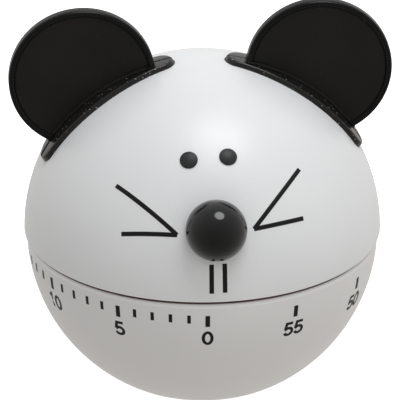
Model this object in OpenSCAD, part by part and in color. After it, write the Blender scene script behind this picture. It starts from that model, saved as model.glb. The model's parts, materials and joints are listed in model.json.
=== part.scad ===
// Wind-up kitchen timer: a ball whose upper half is the knob, with a simple mouse face.
// Millimetres. The origin is on the turning axis at the surface the timer rests on, +Z is up,
// and the face looks along -Y.

/* [Ball] */
// Diameter of the head dome
ball_d = 70; // [69.5:0.1:72]
// Wall thickness of the two white shells
ball_wall = 2; // [1.6:0.1:2.2]
// Height of the ball's centre above the surface it rests on
seat_h = 30; // [29.8:0.1:30.4]
// Gap between the two rims at the seam
seam_gap = 0.5; // [0.4:0.05:0.8]
// How much smaller the base is than the head, on the radius
rim_step = 0.5; // [0.3:0.05:0.7]

/* [Face] */
// Diameter of the nose ball
nose_d = 11.8; // [11:0.1:12.5]
// Angle from the middle of the face to the nose
nose_shift = -0.4; // [-1:0.1:0]
// Height of the nose as an angle above the ball's equator
nose_tilt = 23.3; // [22:0.1:27]
// Distance of the nose ball's centre from the ball's centre
nose_reach = 36.6; // [36:0.1:37.5]
// Diameter of the eye studs
eye_d = 3.45; // [3:0.05:4]
// Half the angle between the two eyes, round the turning axis
eye_turn = 8.9; // [8:0.1:10]
// Angle from the middle of the face to the middle of the two eyes
eye_shift = -2.1; // [-3:0.1:0]
// Height of the eyes as an angle above the ball's equator
eye_tilt = 46; // [44:0.1:48]
// How much higher the right eye is than the middle of the two, as an angle
eye_rise = 0.4; // [0:0.1:0.5]

/* [Ears] */
// Diameter of the ear discs
ear_d = 28.6; // [28:0.1:29.2]
// Lean of each ear away from the vertical
ear_lean = 35.1; // [34:0.1:37]
// How far the pair of ears sits off the middle of the head, as an angle
ear_skew = -0.6; // [-1:0.1:0]
// Distance of the ear's centre from the ball's centre
ear_reach = 40.1; // [39.8:0.1:40.8]
// Thickness of the ear's round rim
ear_t = 2.6; // [2.4:0.1:2.8]
// Thickness of the flat web inside the rim
ear_web_t = 1.8; // [1.4:0.1:2]
// Turn of each ear socket that brings its outer end forward
leaf_toe = 6; // [0:0.5:6]
// Length of the leaf-shaped ear socket from tip to tip
leaf_len = 32; // [31:0.5:33]
// Width of the ear socket at its middle
leaf_w = 9; // [8:0.1:9.5]
// How far the ear socket stands proud of the head
leaf_rise = 1; // [0.6:0.1:1.3]

/* [Movement] */
// Height of the lower plate's underside
lower_plate_z = 12; // [12:0.1:12.2]
// Thickness of the two movement plates
plate_t = 1; // [0.8:0.1:1]
// Radius of the lower plate
lower_plate_r = 25.5; // [25:0.1:25.8]
// Radius of the upper plate
upper_plate_r = 24.5; // [24:0.1:25]
// Radius of the main arbor
arbor_r = 2; // [1.9:0.05:2.1]
// Travel of the head from its stop, in degrees
head_travel = 344; // [336:8:344]

/* [Gear train] */
// Teeth on the great wheel and the second wheel
wheel_teeth = 50; // [50]
// Teeth on the third wheel
third_teeth = 60; // [60]
// Leaves on each pinion
pinion_leaves = 10; // [10]
// Teeth on the escape wheel
escape_teeth = 18; // [18]
// Slack between meshed teeth, along the pitch circle
backlash = 0.12; // [0.1:0.01:0.15]

/* [Bell] */
// Outer radius of the bell
bell_r = 20; // [19.8:0.1:20.2]
// Thickness of the bell's steel
bell_t = 0.7; // [0.6:0.05:0.8]

/* [Hidden] */
$fn = 96;

fixed_fit = 0.02;    // radial gap of a part that is pressed or riveted in place
running_fit = 0.05;  // radial gap of a shaft that turns
skin_gap = 0.05;     // gap between the head and what is let into it
past = 1;            // how far a cutting shape runs past what it cuts
screw_room = 0.3;    // depth of a screw's hole beyond its tip
bar_fill = 0.96;     // width of a bar's straight part as a share of its round ends

// Ball
head_r = ball_d / 2;
head_in_r = head_r - ball_wall;
base_r = head_r - rim_step;
base_in_r = base_r - ball_wall;
seam_z = seat_h - 0.1;
base_rim_z = seam_z - seam_gap;
base_floor_z = 2.4;
foot_round = 3;
base_rim_round = 1;
head_rim_round = 0.4;
lip_r = head_in_r - 0.4;
lip_t = 1.2;
lip_low_z = 26;
lip_high_z = seam_z + 1.2;
boss_r = 2.8;
bell_boss_r = 3.2;
boss_foot_z = 1.5;
screw_reach = 24;
screw_turns = [25, 160, 275];
screw_r = 0.95;
screw_len = 4.2;
screw_head_r = 1.9;
screw_head_h = 1.2;
slot_w = 0.5;
slot_depth = 0.5;

// Drive boss inside the head
hub_r = 3.6;
hub_z = 30.5;
hub_top_z = seat_h + head_r - ball_wall / 2;
flat_depth = 0.6;
flat_z = 30;
arbor_top_z = 44;
hub_hole_top_z = arbor_top_z + 0.5;
rib_t = 1.2;
rib_reach = 16;
rib_z = 50;

// Ears
ear_r = ear_d / 2;
ear_rim_w = 1.1;
ear_collar_t = 3.1;
ear_collar_h = 0.4;
ear_tongue_w = 22;
ear_tongue_low = 29.5;
leaf_side_r = 61;
leaf_tip_r = leaf_w / 2 - 1.3;
leaf_end = leaf_len / 2 - leaf_tip_r;
leaf_top_r = head_r + leaf_rise;
leaf_low_r = head_in_r - 1.4;
flange_extra = 1.2;
flange_len = 24;
leaf_slit_w = 0.5;
leaf_slit_depth = 1;
ear_seat_r = leaf_top_r + fixed_fit;

// Nose and eyes
nose_stem_r = 2;
nose_stem_low = head_in_r - 2;
eye_stem_r = 0.9;
eye_stem_low = head_in_r - 0.6;
eye_top = head_r + 0.6;
eye_dome_r = 5;
stem_overlap = 0.6;

// Plates and pillars
lower_top_z = lower_plate_z + plate_t;
upper_plate_z = 24;
upper_top_z = upper_plate_z + plate_t;
pillar_turns = [128, 225, 322];
pillar_reach = 22.5;
pillar_r = 1.6;
stud_r = 1;
stud_top_z = upper_top_z + 1.6;
nut_r = 2.1;
nut_h = 1.4;
notch_r = 3.2;
bush_r = 3.2;
bush_top_z = upper_top_z + 0.6;

// Main arbor stack
pivot_end_r = 1.5;
collet_r = 3.2;
collet_z = 13.3;
collet_h = 4.3;
seat_z = 17.8;
seat_r = 4;
great_z = 18.6;
great_h = 1;
stack_gap = 0.1;
clutch_spring_z = great_z + great_h + stack_gap;
clutch_spring_h = 0.6;
clutch_spring_t = 0.3;
clutch_collar_z = clutch_spring_z + clutch_spring_h + stack_gap;
clutch_collar_h = 0.8;
cam_z = 25.9;
cam_h = 1.1;
cam_r = 9;
cam_notch_r = 7.4;
cam_notch = [-22, 6];
stop_arm_z = 27.4;
stop_arm_h = 0.8;
stop_reach = 11;
stop_turn = 120;
stop_pin_r = 0.8;
stop_pin_proud = 0.2;
stop_arm_w = 1.4;
stop_arm_hub_r = 3.4;

// Mainspring
spring_low_z = 13.7;
spring_h = 3.8;
spring_t = 0.35;
spring_turns = 6.5;
spring_in_r = 3.7;
spring_out_r = 10.8;
spring_steps = 24;
post_r = 0.9;
post_reach = spring_out_r + spring_t / 2 + post_r + 0.1;
post_turn = 225;
post_top_z = 18;

// Gears
great_m = 0.5;
second_m = 0.4;
third_m = 0.3;
tooth_tilt = 25;
addendum = 0.8;
dedendum = 1.05;
flank_steps = 3;
great_windows = [7.8, 2.4, 6];
wheel_windows = [0.57, 0.25, 5];
escape_windows = [3.2, 0.8, 6];
reach_second = great_m * (wheel_teeth + pinion_leaves) / 2;
reach_third = second_m * (wheel_teeth + pinion_leaves) / 2;
reach_escape = third_m * (third_teeth + pinion_leaves) / 2;
third_d = 16;
escape_d = 17.5;
pallet_d = 18.5;
pallet_reach = 8.2;
second_pos = [reach_second, 0];
third_turn = corner(reach_second, third_d, reach_third);
third_pos = polar(third_d, third_turn);
escape_turn = third_turn + corner(third_d, escape_d, reach_escape);
escape_pos = polar(escape_d, escape_turn);
pallet_turn = escape_turn + corner(escape_d, pallet_d, pallet_reach);
pallet_pos = polar(pallet_d, pallet_turn);
shaft_r = 0.7;
pivot_r = 0.4;
shaft_low_z = 13.2;
shaft_high_z = 23.8;
pivot_low_z = lower_plate_z;
pivot_high_z = upper_top_z + 0.2;
second_pinion_z = [17.8, 20];
second_wheel_z = 21.6;
third_wheel_z = 20.3;
third_pinion_z = [21.2, 23.2];
escape_pinion_z = [19.8, 21.6];
escape_wheel_z = 14.4;
wheel_h = 0.8;
wheel_hub_r = 1.8;
wheel_hub_h = 0.5;

// Escapement
escape_tip_r = 6;
escape_root_r = 4.7;
escape_foot = 5.5;
escape_point = 0.8;
pin_r = 0.2;
pin_gap = 0.12;
pin_angle = 45;
pin_circle = escape_tip_r + pin_r + pin_gap;
pin_low_z = 14.2;
lever_z = 15.6;
lever_h = 0.8;
pallet_hub_r = 1.6;
pallet_w = 1.8;
pallet_tip_r = 0.6;
balance_z = 20.6;
balance_h = 1.2;
balance_r = 5;
balance_rim_w = 1.2;
balance_arm_w = 1;

// Hammer
hammer_pos = polar(16.5, 300);
hammer_r = 1;
hammer_low_z = 8.6;
hammer_high_z = 27.2;
arm_z = 9.2;
arm_h = 1;
arm_tip_r = 1.1;
head_pos = polar(17.7, 250);
hammer_head_r = 1.2;
hammer_head_z = [8.3, 10.6];
nib_r = 0.5;
nib_gap = 0.2;
nib_pos = polar(cam_r + nib_gap + nib_r, 350);
trip_gap = 0.85;
trip_turn = -68.9;
trip_tip_r = 0.35;
trip_r = second_m * (wheel_teeth / 2 + addendum) + trip_gap;
lever_hub_r = 2;
lever_w = 1.6;
cam_lever_h = 1;
leaf_spring_t = 0.25;
leaf_tip_gap = 1.3;
leaf_tip_share = 0.45;

// Bell
bell_z = 4.2;
bell_rim_z = 10.6;
bell_round = 4;
bell_hole_r = 1.3;
bell_screw_r = 1.2;
bell_screw_head_r = 2.6;
bell_screw_low_z = 1.6;

// Angle between the first two sides of a triangle, from the lengths of all three
function corner(a, b, c) = acos((a * a + b * b - c * c) / (2 * a * b));
function polar(r, a) = [r * cos(a), r * sin(a)];
function direction(a, b) = atan2(b.y - a.y, b.x - a.x);
function in_degrees(x) = x * 180 / PI;
// Involute of a pressure angle, in degrees
function involute(a) = in_degrees(tan(a)) - a;
// Half the angle that a tooth takes at radius r
function half_tooth(teeth, m, r) =
    90 / teeth - in_degrees(backlash / 2 / (m * teeth / 2)) + involute(tooth_tilt)
    - involute(acos(min(1, m * teeth / 2 * cos(tooth_tilt) / r)));
// Outline of a spur gear with involute flanks, with a tooth on +X
function gear_outline(teeth, m) =
    let (
        root_r = m * (teeth / 2 - dedendum),
        tip_r = m * (teeth / 2 + addendum),
        flank_r = max(root_r, m * teeth / 2 * cos(tooth_tilt)),
        flank = [for (i = [0:flank_steps]) flank_r + (tip_r - flank_r) * i / flank_steps],
        radii = flank_r > root_r ? concat([root_r], flank) : flank,
        spread = [for (r = radii) half_tooth(teeth, m, max(r, flank_r))],
        last = len(radii) - 1
    )
    [for (t = [0:teeth - 1]) each concat(
        [for (i = [0:last]) polar(radii[i], 360 * t / teeth - spread[i])],
        [for (i = [last:-1:0]) polar(radii[i], 360 * t / teeth + spread[i])]
    )];

// A solid disc between two heights, on an upright axis through p
module disc(r, z0, z1, p = [0, 0]) {
    translate([p.x, p.y, z0]) cylinder(r = r, h = z1 - z0);
}

// A shell's section between two radii about the ball's centre
module ball_section(outer, inner) {
    difference() {
        translate([0, seat_h]) circle(outer);
        translate([0, seat_h]) circle(inner);
    }
}

// The sliver outside a rounded edge, where a ball meets a flat plane; side is +1 with the ball above it
module edge_sliver(r, plane_z, round_r, side) {
    zc = plane_z + side * round_r - seat_h;
    rho = sqrt(pow(r - round_r, 2) - zc * zc);
    k = r / (r - round_r);
    polygon([[rho, plane_z], [rho * k, seat_h + zc * k], [r + past, seat_h + zc * k],
        [r + past, plane_z - side * past], [rho, plane_z - side * past]]);
}

// The round that fills a rounded edge
module edge_round(r, plane_z, round_r, side) {
    zc = plane_z + side * round_r - seat_h;
    rho = sqrt(pow(r - round_r, 2) - zc * zc);
    translate([rho, seat_h + zc]) circle(round_r);
}

module at_turns(reach, turns) {
    for (a = turns) rotate(a) translate([reach, 0, 0]) children();
}

module at_ball_centre() {
    translate([0, 0, seat_h]) children();
}

// Places children with +Z pointing out of the ball through a point of the face
module on_face(turn, tilt) {
    at_ball_centre() rotate([0, 0, turn]) rotate([90 - tilt, 0, 0]) children();
}

module at_nose() {
    on_face(nose_shift, nose_tilt) children();
}

module at_eye(side) {
    on_face(eye_shift + side * eye_turn, eye_tilt + side * eye_rise) children();
}

// Places children in an ear's own frame: +Z out of the ball through the ear, X along its root
module in_ear(side) {
    at_ball_centre() rotate([0, side * ear_lean + ear_skew, 0]) children();
}

// Places children in an ear socket's own frame, which is the ear's with X along the leaf
module in_leaf(side) {
    in_ear(side) rotate([0, 0, -side * leaf_toe]) children();
}

// The upright prism that gives an ear socket its leaf shape: two long side arcs that meet round ends
module leaf_prism(extra) {
    low = leaf_low_r - leaf_w;
    high = head_r / 2;
    intersection() {
        intersection_for (s = [-1, 1])
            translate([0, s * (leaf_side_r - leaf_w / 2), low]) cylinder(r = leaf_side_r + extra, h = high);
        union() {
            translate([-leaf_end, -leaf_w, low]) cube([2 * leaf_end, 2 * leaf_w, high]);
            for (s = [-1, 1]) translate([s * leaf_end, 0, low]) cylinder(r = leaf_tip_r + extra, h = high);
        }
    }
}

// A hollow ball between two radii
module ball_layer(outer, inner) {
    difference() {
        sphere(outer);
        sphere(inner);
    }
}

// A flat bar with round ends of two radii; its sides run just inside the rounds
module bar(a, b, ra, rb, z, h) {
    turn = direction(a, b);
    disc(ra, z, z + h, a);
    disc(rb, z, z + h, b);
    flat_part(z, h) polygon([a + polar(ra * bar_fill, turn + 90), b + polar(rb * bar_fill, turn + 90),
        b + polar(rb * bar_fill, turn - 90), a + polar(ra * bar_fill, turn - 90)]);
}

// Raises a flat outline between z and z + h
module flat_part(z, h) {
    translate([0, 0, z]) linear_extrude(h) children();
}

// The main arbor's section with its flat, grown by a clearance
module drive_section(gap) {
    difference() {
        circle(arbor_r + gap);
        translate([arbor_r - flat_depth + gap, -2 * arbor_r]) square([arbor_r, 4 * arbor_r]);
    }
}

// ---- Base body ----

module base_section() {
    difference() {
        intersection() {
            ball_section(base_r, base_in_r);
            square([base_r + past, base_rim_z]);
        }
        edge_sliver(base_r, base_rim_z, base_rim_round, -1);
    }
}

module base_floor_section() {
    difference() {
        intersection() {
            translate([0, seat_h]) circle(base_r - ball_wall / 2);
            square([base_r, base_floor_z]);
        }
        edge_sliver(base_r, 0, foot_round, 1);
    }
}

module base_shell() {
    color("white") difference() {
        union() {
            rotate_extrude() difference() {
                union() {
                    base_section();
                    base_floor_section();
                    intersection() {
                        edge_round(base_r, base_rim_z, base_rim_round, -1);
                        square([base_r + past, base_rim_z]);
                    }
                    intersection() {
                        edge_round(base_r, 0, foot_round, 1);
                        square([base_r, base_floor_z]);
                    }
                    translate([lip_r - lip_t, lip_low_z]) square([lip_t, lip_high_z - lip_low_z]);
                }
                edge_sliver(base_r, 0, foot_round, 1);
            }
            intersection() {
                at_turns(screw_reach, screw_turns) disc(boss_r, boss_foot_z, lower_plate_z);
                at_ball_centre() sphere(base_r - ball_wall / 2);
            }
            disc(bell_boss_r, boss_foot_z, bell_z);
        }
        at_turns(screw_reach, screw_turns)
            disc(screw_r + fixed_fit, lower_top_z - screw_len - screw_room, lower_plate_z + past);
        disc(bell_screw_r + fixed_fit, bell_screw_low_z - screw_room, bell_z + past);
    }
}

module bell_section(gap) {
    round_r = bell_round - gap;
    translate([0, bell_z + gap]) square([bell_r - bell_round, bell_rim_z + past]);
    translate([0, bell_z + bell_round]) square([bell_r - gap, bell_rim_z + past]);
    translate([bell_r - bell_round, bell_z + bell_round]) circle(round_r);
}

module bell() {
    color("silver") difference() {
        rotate_extrude() intersection() {
            difference() {
                bell_section(0);
                bell_section(bell_t);
            }
            square([bell_r + past, bell_rim_z]);
        }
        disc(bell_hole_r, 0, bell_rim_z);
    }
}

module slotted_head(r, z, h) {
    difference() {
        disc(r, z, z + h);
        translate([-r - past, -slot_w / 2, z + h - slot_depth]) cube([2 * r + 2 * past, slot_w, h]);
    }
}

module bell_screw() {
    color("gainsboro") {
        disc(bell_screw_r, bell_screw_low_z, bell_z + bell_t);
        slotted_head(bell_screw_head_r, bell_z + bell_t, screw_head_h);
    }
}

module case_screws() {
    color("gainsboro") at_turns(screw_reach, screw_turns) {
        disc(screw_r, lower_top_z - screw_len, lower_top_z);
        slotted_head(screw_head_r, lower_top_z, screw_head_h);
    }
}

module train_holes(z) {
    for (p = [second_pos, third_pos, escape_pos, pallet_pos])
        disc(pivot_r + running_fit, z - past, z + plate_t + past, p);
    disc(hammer_r + running_fit, z - past, z + plate_t + past, hammer_pos);
    at_turns(pillar_reach, pillar_turns) disc(stud_r + fixed_fit, z - past, z + plate_t + past);
}

module lower_plate() {
    color("gold") difference() {
        disc(lower_plate_r, lower_plate_z, lower_top_z);
        train_holes(lower_plate_z);
        disc(pivot_end_r + running_fit, lower_plate_z - past, lower_top_z + past);
        at_turns(screw_reach, screw_turns)
            disc(screw_r + running_fit, lower_plate_z - past, lower_top_z + past);
        rotate(post_turn)
            disc(post_r + fixed_fit, lower_plate_z - past, lower_top_z + past, [post_reach, 0]);
    }
}

module upper_plate() {
    color("gold") difference() {
        disc(upper_plate_r, upper_plate_z, upper_top_z);
        train_holes(upper_plate_z);
        disc(bush_r + fixed_fit, upper_plate_z - past, upper_top_z + past);
        at_turns(screw_reach, screw_turns) disc(notch_r, upper_plate_z - past, upper_top_z + past);
        rotate(stop_turn)
            disc(stop_pin_r + fixed_fit, upper_plate_z - past, upper_top_z + past, [stop_reach, 0]);
    }
}

module plate_pillars() {
    color("silver") at_turns(pillar_reach, pillar_turns) {
        disc(stud_r, lower_plate_z, stud_top_z);
        disc(pillar_r, lower_top_z, upper_plate_z);
    }
}

module pillar_nuts() {
    color("silver") at_turns(pillar_reach, pillar_turns) difference() {
        translate([0, 0, upper_top_z]) cylinder(r = nut_r, h = nut_h, $fn = 6);
        disc(stud_r + fixed_fit, upper_plate_z, stud_top_z + past);
    }
}

module arbor_bush() {
    color("goldenrod") difference() {
        disc(bush_r, upper_plate_z, bush_top_z);
        disc(arbor_r + running_fit, upper_plate_z - past, bush_top_z + past);
    }
}

module spring_post() {
    color("silver") rotate(post_turn) disc(post_r, lower_plate_z, post_top_z, [post_reach, 0]);
}

// Radius and angle of the mainspring's strip after i of n steps
function spring_radius(i, n) = spring_in_r + (spring_out_r - spring_in_r) * i / n;
function spring_angle(i, n) = post_turn + 360 * spring_turns * (i / n - 1);

module mainspring() {
    n = spring_turns * spring_steps;
    color("steelblue") flat_part(spring_low_z, spring_h) polygon(concat(
        [for (i = [0:n]) polar(spring_radius(i, n) - spring_t / 2, spring_angle(i, n))],
        [for (i = [n:-1:0]) polar(spring_radius(i, n) + spring_t / 2, spring_angle(i, n))]
    ));
}

module stop_pin() {
    color("silver") rotate(stop_turn)
        disc(stop_pin_r, upper_plate_z, stop_arm_z + stop_arm_h + stop_pin_proud, [stop_reach, 0]);
}

// A thin leaf held round one pillar, which presses the trip lever towards its wheel
module hammer_spring() {
    anchor = polar(pillar_reach, pillar_turns[2]);
    press_turn = direction(hammer_pos, trip_pos()) - 90;
    tip = hammer_pos + (trip_pos() - hammer_pos) * leaf_tip_share + polar(leaf_tip_gap, press_turn);
    color("steelblue") difference() {
        union() {
            disc(pillar_r + fixed_fit + leaf_spring_t, second_wheel_z, second_wheel_z + wheel_h, anchor);
            bar(anchor, tip, leaf_spring_t, leaf_spring_t / 2, second_wheel_z, wheel_h);
        }
        disc(pillar_r + fixed_fit, second_wheel_z - past, second_wheel_z + wheel_h + past, anchor);
    }
}

// ---- Head body ----

module head_section() {
    difference() {
        intersection() {
            ball_section(head_r, head_in_r);
            translate([0, seam_z]) square([head_r + past, head_r + past]);
        }
        edge_sliver(head_r, seam_z, head_rim_round, 1);
    }
    edge_round(head_r, seam_z, head_rim_round, 1);
}

module head_shell() {
    color("white") difference() {
        union() {
            rotate_extrude() head_section();
            disc(hub_r, hub_z, hub_top_z);
            intersection() {
                for (a = [90, 270]) rotate(a)
                    translate([0, -rib_t / 2, rib_z]) cube([rib_reach, rib_t, head_r]);
                at_ball_centre() sphere(head_r - ball_wall / 2);
            }
        }
        flat_part(hub_z - past, hub_hole_top_z - hub_z + past) drive_section(fixed_fit);
        for (side = [-1, 1]) {
            in_leaf(side) leaf_prism(skin_gap);
            at_eye(side) translate([0, 0, eye_stem_low])
                cylinder(r = eye_stem_r + skin_gap, h = head_r + past - eye_stem_low);
        }
        at_nose() translate([0, 0, nose_stem_low])
            cylinder(r = nose_stem_r + skin_gap, h = head_r + past - nose_stem_low);
    }
}

module ear_rim_section() {
    edge = ear_r - ear_rim_w / 2;
    for (s = [-1, 1]) translate([edge, s * (ear_t - ear_rim_w) / 2]) circle(ear_rim_w / 2);
    translate([ear_r - ear_rim_w, -(ear_t - ear_rim_w) / 2]) square([ear_rim_w, ear_t - ear_rim_w]);
    translate([0, -ear_web_t / 2]) square([edge, ear_web_t]);
}

module ear(side) {
    color("#1d1b1a") in_ear(side) {
        difference() {
            union() {
                translate([0, 0, ear_reach]) rotate([90, 0, 0]) rotate_extrude() ear_rim_section();
                intersection() {
                    translate([0, ear_collar_t / 2, ear_reach]) rotate([90, 0, 0])
                        cylinder(r = ear_r, h = ear_collar_t);
                    ball_layer(leaf_top_r + ear_collar_h, ear_seat_r);
                }
            }
            sphere(ear_seat_r);
        }
        intersection() {
            translate([-ear_tongue_w / 2, -ear_t / 2, ear_tongue_low]) cube([ear_tongue_w, ear_t, head_r]);
            sphere(ear_seat_r + ear_collar_h / 2);
        }
    }
}

module ear_left() {
    ear(-1);
}

module ear_right() {
    ear(1);
}

module ear_socket(side) {
    slot_l = ear_tongue_w + 2 * fixed_fit;
    slot_wide = ear_t + 2 * fixed_fit;
    color("#262424") difference() {
        in_leaf(side) {
            intersection() {
                leaf_prism(0);
                ball_layer(leaf_top_r, leaf_low_r);
            }
            intersection() {
                leaf_prism(flange_extra);
                ball_layer(head_in_r - skin_gap, leaf_low_r);
                translate([-flange_len / 2, -leaf_w, 0]) cube([flange_len, 2 * leaf_w, head_r]);
            }
        }
        in_ear(side)
            translate([-slot_l / 2, -slot_wide / 2, 0]) cube([slot_l, slot_wide, head_r + 2 * past]);
        in_leaf(side) intersection() {
            translate([-leaf_len / 2, -leaf_slit_w / 2, 0])
                cube([leaf_len, leaf_slit_w, head_r + 2 * past]);
            ball_layer(leaf_top_r + past, leaf_top_r - leaf_slit_depth);
        }
    }
}

module ear_socket_left() {
    ear_socket(-1);
}

module ear_socket_right() {
    ear_socket(1);
}

module nose() {
    color("#111111") {
        difference() {
            at_nose() translate([0, 0, nose_reach]) sphere(nose_d / 2);
            at_ball_centre() sphere(head_r + skin_gap);
        }
        at_nose() translate([0, 0, nose_stem_low])
            cylinder(r = nose_stem_r, h = head_r + stem_overlap - nose_stem_low);
    }
}

module eye(side) {
    color("#333333") {
        difference() {
            at_eye(side) intersection() {
                translate([0, 0, head_r - past]) cylinder(r = eye_d / 2, h = 2 * past);
                translate([0, 0, eye_top - eye_dome_r]) sphere(eye_dome_r);
            }
            at_ball_centre() sphere(head_r + skin_gap);
        }
        at_eye(side) translate([0, 0, eye_stem_low])
            cylinder(r = eye_stem_r, h = head_r + stem_overlap / 2 - eye_stem_low);
    }
}

module eye_left() {
    eye(-1);
}

module eye_right() {
    eye(1);
}

module main_arbor() {
    color("silver") {
        disc(pivot_end_r, lower_plate_z, shaft_low_z);
        disc(arbor_r, shaft_low_z, flat_z);
        flat_part(flat_z, arbor_top_z - flat_z) drive_section(0);
    }
}

// A ring pressed onto the main arbor
module arbor_ring(r, z, h) {
    difference() {
        disc(r, z, z + h);
        disc(arbor_r + fixed_fit, z - past, z + h + past);
    }
}

module spring_collet() {
    color("silver") arbor_ring(collet_r, collet_z, collet_h);
}

module clutch_seat() {
    color("silver") arbor_ring(seat_r, seat_z, great_z - stack_gap - seat_z);
}

// A domed washer: its rim presses on the great wheel and its bore on the collar
module clutch_spring() {
    color("steelblue") difference() {
        translate([0, 0, clutch_spring_z])
            cylinder(r1 = seat_r + 1, r2 = arbor_r + 1, h = clutch_spring_h);
        translate([0, 0, clutch_spring_z - clutch_spring_t])
            cylinder(r1 = seat_r + 1, r2 = arbor_r + 1, h = clutch_spring_h);
        disc(arbor_r + fixed_fit, clutch_spring_z - past, clutch_collar_z);
    }
}

module clutch_collar() {
    color("silver") arbor_ring(seat_r, clutch_collar_z, clutch_collar_h);
}

module strike_cam() {
    nib_turn = direction([0, 0], nib_pos);
    color("goldenrod") difference() {
        arbor_ring(cam_r, cam_z, cam_h);
        flat_part(cam_z - past, cam_h + 2 * past) difference() {
            polygon(concat([[0, 0]], [for (a = cam_notch) polar(2 * cam_r, nib_turn + a)]));
            circle(cam_notch_r);
        }
    }
}

module stop_arm() {
    blocked = 360 - head_travel;
    color("silver") difference() {
        union() {
            disc(stop_arm_hub_r, stop_arm_z, stop_arm_z + stop_arm_h);
            rotate(stop_turn - blocked / 2) translate([0, -stop_arm_w / 2, stop_arm_z])
                cube([stop_reach + stop_pin_r, stop_arm_w, stop_arm_h]);
        }
        disc(arbor_r + fixed_fit, stop_arm_z - past, stop_arm_z + stop_arm_h + past);
    }
}

// ---- Gear train ----

module gear(teeth, m, z, h, p, turn) {
    translate([p.x, p.y, z]) rotate(turn) linear_extrude(h) polygon(gear_outline(teeth, m));
}

// A ring of round windows that leaves spokes in a wheel, from their reach, radius and count
module windows(w, k, z, h, p) {
    translate([p.x, p.y, z - past]) for (i = [0:w[2] - 1]) rotate(360 * (i + 0.5) / w[2])
        translate([w[0] * k, 0, 0]) cylinder(r = w[1] * k, h = h + 2 * past);
}

module great_wheel() {
    color("gold") difference() {
        gear(wheel_teeth, great_m, great_z, great_h, [0, 0], direction([0, 0], second_pos));
        disc(arbor_r + running_fit, great_z - past, great_z + great_h + past);
        windows(great_windows, 1, great_z, great_h, [0, 0]);
    }
}

// A brass wheel riveted to its pinion's shaft
module train_wheel(teeth, m, z, p, mate) {
    color("gold") difference() {
        union() {
            gear(teeth, m, z, wheel_h, p, direction(p, mate));
            disc(wheel_hub_r, z - wheel_hub_h, z + wheel_h, p);
        }
        disc(shaft_r + fixed_fit, z - wheel_hub_h - past, z + wheel_h + past, p);
        windows(wheel_windows, m * teeth / 2, z, wheel_h, p);
    }
}

// A steel arbor with its pivots, and its pinion's leaves between two heights
module train_pinion(m, z, p, mate) {
    color("silver") {
        gear(pinion_leaves, m, z[0], z[1] - z[0], p, direction(p, mate) + 180 / pinion_leaves);
        arbor(p);
    }
}

module arbor(p) {
    disc(shaft_r, shaft_low_z, shaft_high_z, p);
    disc(pivot_r, pivot_low_z, pivot_high_z, p);
}

module second_wheel() {
    train_wheel(wheel_teeth, second_m, second_wheel_z, second_pos, third_pos);
}

module second_pinion() {
    train_pinion(great_m, second_pinion_z, second_pos, [0, 0]);
}

module third_wheel() {
    train_wheel(third_teeth, third_m, third_wheel_z, third_pos, escape_pos);
}

module third_pinion() {
    train_pinion(second_m, third_pinion_z, third_pos, second_pos);
}

module escape_pinion() {
    train_pinion(third_m, escape_pinion_z, escape_pos, third_pos);
}

// Outline of one pointed escape tooth, with a narrow tip
function escape_outline() = [for (t = [0:escape_teeth - 1]) let (a = 360 * t / escape_teeth) each [
    polar(escape_root_r, a - escape_foot), polar(escape_tip_r, a - escape_point),
    polar(escape_tip_r, a + escape_point), polar(escape_root_r, a + escape_foot)
]];

module escape_wheel() {
    p = escape_pos;
    color("gold") difference() {
        union() {
            translate([p.x, p.y, escape_wheel_z]) rotate(direction(escape_pos, pallet_pos))
                linear_extrude(wheel_h) polygon(escape_outline());
            disc(wheel_hub_r, escape_wheel_z - wheel_hub_h, escape_wheel_z + wheel_h, p);
        }
        disc(shaft_r + fixed_fit, escape_wheel_z - past, escape_wheel_z + wheel_h + past, p);
        windows(escape_windows, 1, escape_wheel_z, wheel_h, p);
    }
}

// ---- Pallet body ----

function pin_pos(s) = escape_pos + polar(pin_circle, direction(escape_pos, pallet_pos) + s * pin_angle);

module pallet_lever() {
    high_z = lever_z + lever_h;
    color("silver") difference() {
        union() {
            disc(pallet_hub_r, lever_z, high_z, pallet_pos);
            for (s = [-1, 1]) bar(pallet_pos, pin_pos(s), pallet_w / 2, pallet_tip_r, lever_z, lever_h);
        }
        disc(shaft_r + fixed_fit, lever_z - past, high_z + past, pallet_pos);
        for (s = [-1, 1]) disc(pin_r + fixed_fit, lever_z - past, high_z + past, pin_pos(s));
    }
}

module pallet_pins() {
    color("silver") for (s = [-1, 1]) disc(pin_r, pin_low_z, lever_z + lever_h, pin_pos(s));
}

module pallet_arbor() {
    color("silver") arbor(pallet_pos);
}

module balance_wheel() {
    high_z = balance_z + balance_h;
    color("gold") difference() {
        union() {
            difference() {
                disc(balance_r, balance_z, high_z, pallet_pos);
                disc(balance_r - balance_rim_w, balance_z - past, high_z + past, pallet_pos);
            }
            disc(pallet_hub_r, balance_z, high_z, pallet_pos);
            for (a = [0:120:240])
                bar(pallet_pos, pallet_pos + polar(balance_r - balance_rim_w / 2, a),
                    balance_arm_w / 2, balance_arm_w / 2, balance_z, balance_h);
        }
        disc(shaft_r + fixed_fit, balance_z - past, high_z + past, pallet_pos);
    }
}

// ---- Hammer body ----

function trip_pos() = second_pos + polar(trip_r, trip_turn);

// A lever fixed on the hammer arbor, tapering to a round tip
module hammer_lever(z, h, tip, tip_r) {
    difference() {
        union() {
            disc(lever_hub_r, z, z + h, hammer_pos);
            bar(hammer_pos, tip, lever_w / 2, tip_r, z, h);
        }
        disc(hammer_r + fixed_fit, z - past, z + h + past, hammer_pos);
    }
}

module hammer_arbor() {
    color("silver") disc(hammer_r, hammer_low_z, hammer_high_z, hammer_pos);
}

module hammer_arm() {
    color("silver") difference() {
        hammer_lever(arm_z, arm_h, head_pos, arm_tip_r);
        disc(hammer_head_r / 2 + fixed_fit, arm_z - past, arm_z + arm_h + past, head_pos);
    }
}

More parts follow.
